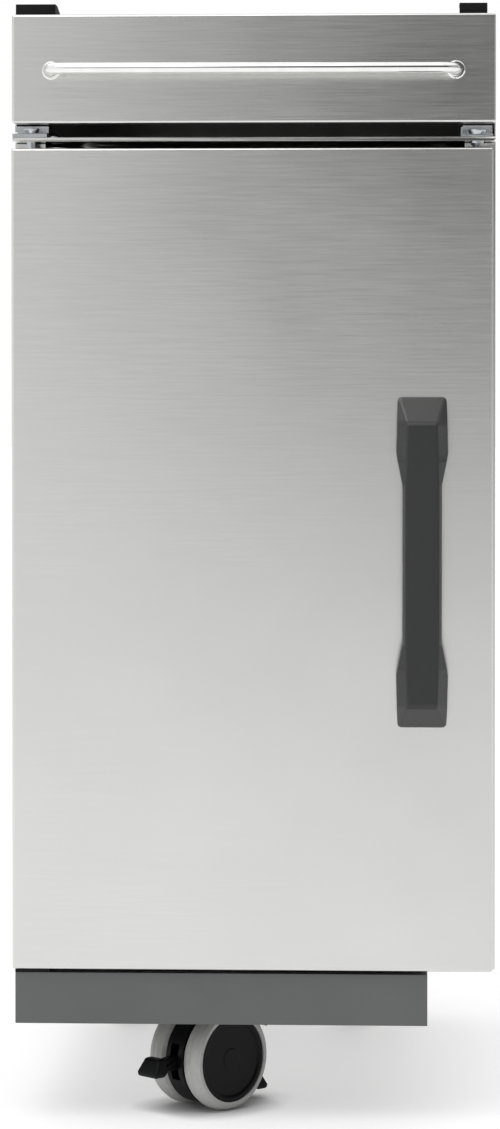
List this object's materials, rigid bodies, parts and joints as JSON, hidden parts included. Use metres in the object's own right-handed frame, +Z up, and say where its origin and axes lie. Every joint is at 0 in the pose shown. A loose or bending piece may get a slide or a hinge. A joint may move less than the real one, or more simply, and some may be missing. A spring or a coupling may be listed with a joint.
{
  "type": "grill cabinet",
  "caption": "Slim stainless outdoor kitchen cabinet with a bar-handled drawer over a hinged door, on a grey base frame with twin-wheel casters.",
  "frame": {"origin": "on the floor, under the middle of the whole cabinet's box", "axes": "+Z up, -Y out of the front, +X to the right as seen from the front, towards the door handle"},
  "size_m": [0.392, 0.5534, 0.9105],
  "materials": {
    "brushed_steel": "brushed stainless sheet",
    "polished_steel": "polished stainless rod",
    "zinc_plated_steel": "bright zinc plate",
    "grey_powder_coat": "satin grey powder coat",
    "black_powder_coat": "satin black powder coat",
    "handle_plastic": "moulded dark grey nylon",
    "black_plastic": "moulded black nylon",
    "tread_rubber": "soft grey tread"
  },
  "bodies": {
    "cabinet": {"left_side_panel": "brushed_steel", "right_side_panel": "brushed_steel", "back_panel": "brushed_steel", "bottom_panel": "brushed_steel", "top_front_rail": "brushed_steel", "top_rear_rail": "brushed_steel", "divider_rail": "brushed_steel", "shelf": "brushed_steel", "left_shelf_support": "zinc_plated_steel", "right_shelf_support": "zinc_plated_steel", "base_front_rail": "grey_powder_coat", "base_rear_rail": "grey_powder_coat", "base_left_rail": "grey_powder_coat", "base_right_rail": "grey_powder_coat", "front_left_top_bracket": "black_powder_coat", "front_right_top_bracket": "black_powder_coat", "rear_left_top_bracket": "black_powder_coat", "rear_right_top_bracket": "black_powder_coat", "top_hinge_bracket": "zinc_plated_steel", "top_hinge_pin": "zinc_plated_steel", "bottom_hinge_bracket": "zinc_plated_steel", "bottom_hinge_pin": "zinc_plated_steel", "catch_bracket": "zinc_plated_steel", "catch_pin": "zinc_plated_steel", "left_runner_outer": "zinc_plated_steel", "right_runner_outer": "zinc_plated_steel", "front_caster_plate": "zinc_plated_steel", "rear_left_caster_plate": "zinc_plated_steel", "rear_right_caster_plate": "zinc_plated_steel"},
    "door": {"door_skin": "brushed_steel", "door_liner": "brushed_steel", "door_handle": "handle_plastic"},
    "drawer": {"drawer_front": "brushed_steel", "drawer_box": "brushed_steel", "drawer_handle": "polished_steel", "left_handle_ferrule": "polished_steel", "right_handle_ferrule": "polished_steel", "left_runner_inner": "zinc_plated_steel", "right_runner_inner": "zinc_plated_steel"},
    "front_caster_swivel": {"front_caster_housing": "black_plastic", "front_caster_axle": "zinc_plated_steel"},
    "front_caster_wheel_a": {"front_caster_wheel_a_tyre": "tread_rubber", "front_caster_wheel_a_hub": "black_plastic"},
    "front_caster_wheel_b": {"front_caster_wheel_b_tyre": "tread_rubber", "front_caster_wheel_b_hub": "black_plastic"},
    "brake": {"brake_rocker": "black_plastic"},
    "rear_left_caster_swivel": {"rear_left_caster_housing": "black_plastic", "rear_left_caster_axle": "zinc_plated_steel"},
    "rear_left_caster_wheel_a": {"rear_left_caster_wheel_a_tyre": "tread_rubber", "rear_left_caster_wheel_a_hub": "black_plastic"},
    "rear_left_caster_wheel_b": {"rear_left_caster_wheel_b_tyre": "tread_rubber", "rear_left_caster_wheel_b_hub": "black_plastic"},
    "rear_right_caster_swivel": {"rear_right_caster_housing": "black_plastic", "rear_right_caster_axle": "zinc_plated_steel"},
    "rear_right_caster_wheel_a": {"rear_right_caster_wheel_a_tyre": "tread_rubber", "rear_right_caster_wheel_a_hub": "black_plastic"},
    "rear_right_caster_wheel_b": {"rear_right_caster_wheel_b_tyre": "tread_rubber", "rear_right_caster_wheel_b_hub": "black_plastic"}
  },
  "joints": [
    {"name": "door_hinge", "type": "hinge", "parent": "cabinet", "child": "door", "pos_m": [-0.1805, -0.22335, 0.4584], "axis": [0, 0, -1], "range_deg": [0, 110]},
    {"name": "drawer_slide", "type": "slide", "parent": "cabinet", "child": "drawer", "axis": [0, -1, 0], "range_m": [0, 0.3]},
    {"name": "front_caster_swivel", "type": "hinge", "parent": "cabinet", "child": "front_caster_swivel", "pos_m": [-0.0265, -0.14435, 0.11], "axis": [0, 0, 1], "continuous": true},
    {"name": "front_caster_wheel_a_roll", "type": "hinge", "parent": "front_caster_swivel", "child": "front_caster_wheel_a", "pos_m": [-0.04027, -0.15886, 0.04223], "axis": [0.7254, -0.6884, 0], "continuous": true},
    {"name": "front_caster_wheel_b_roll", "type": "hinge", "parent": "front_caster_swivel", "child": "front_caster_wheel_b", "pos_m": [-0.04027, -0.15886, 0.04223], "axis": [0.7254, -0.6884, 0], "continuous": true},
    {"name": "brake_rock", "type": "hinge", "parent": "front_caster_swivel", "child": "brake", "pos_m": [-0.04027, -0.15886, 0.04223], "axis": [0.7254, -0.6884, 0], "range_deg": [0, 12]},
    {"name": "rear_left_caster_swivel", "type": "hinge", "parent": "cabinet", "child": "rear_left_caster_swivel", "pos_m": [-0.128, 0.20165, 0.11], "axis": [0, 0, 1], "continuous": true},
    {"name": "rear_left_caster_wheel_a_roll", "type": "hinge", "parent": "rear_left_caster_swivel", "child": "rear_left_caster_wheel_a", "pos_m": [-0.13147, 0.22135, 0.04223], "axis": [-0.9848, -0.1736, 0], "continuous": true},
    {"name": "rear_left_caster_wheel_b_roll", "type": "hinge", "parent": "rear_left_caster_swivel", "child": "rear_left_caster_wheel_b", "pos_m": [-0.13147, 0.22135, 0.04223], "axis": [-0.9848, -0.1736, 0], "continuous": true},
    {"name": "rear_right_caster_swivel", "type": "hinge", "parent": "cabinet", "child": "rear_right_caster_swivel", "pos_m": [0.075, 0.20165, 0.11], "axis": [0, 0, 1], "continuous": true},
    {"name": "rear_right_caster_wheel_a_roll", "type": "hinge", "parent": "rear_right_caster_swivel", "child": "rear_right_caster_wheel_a", "pos_m": [0.08018, 0.22097, 0.04223], "axis": [-0.9659, 0.2588, 0], "continuous": true},
    {"name": "rear_right_caster_wheel_b_roll", "type": "hinge", "parent": "rear_right_caster_swivel", "child": "rear_right_caster_wheel_b", "pos_m": [0.08018, 0.22097, 0.04223], "axis": [-0.9659, 0.2588, 0], "continuous": true}
  ]
}
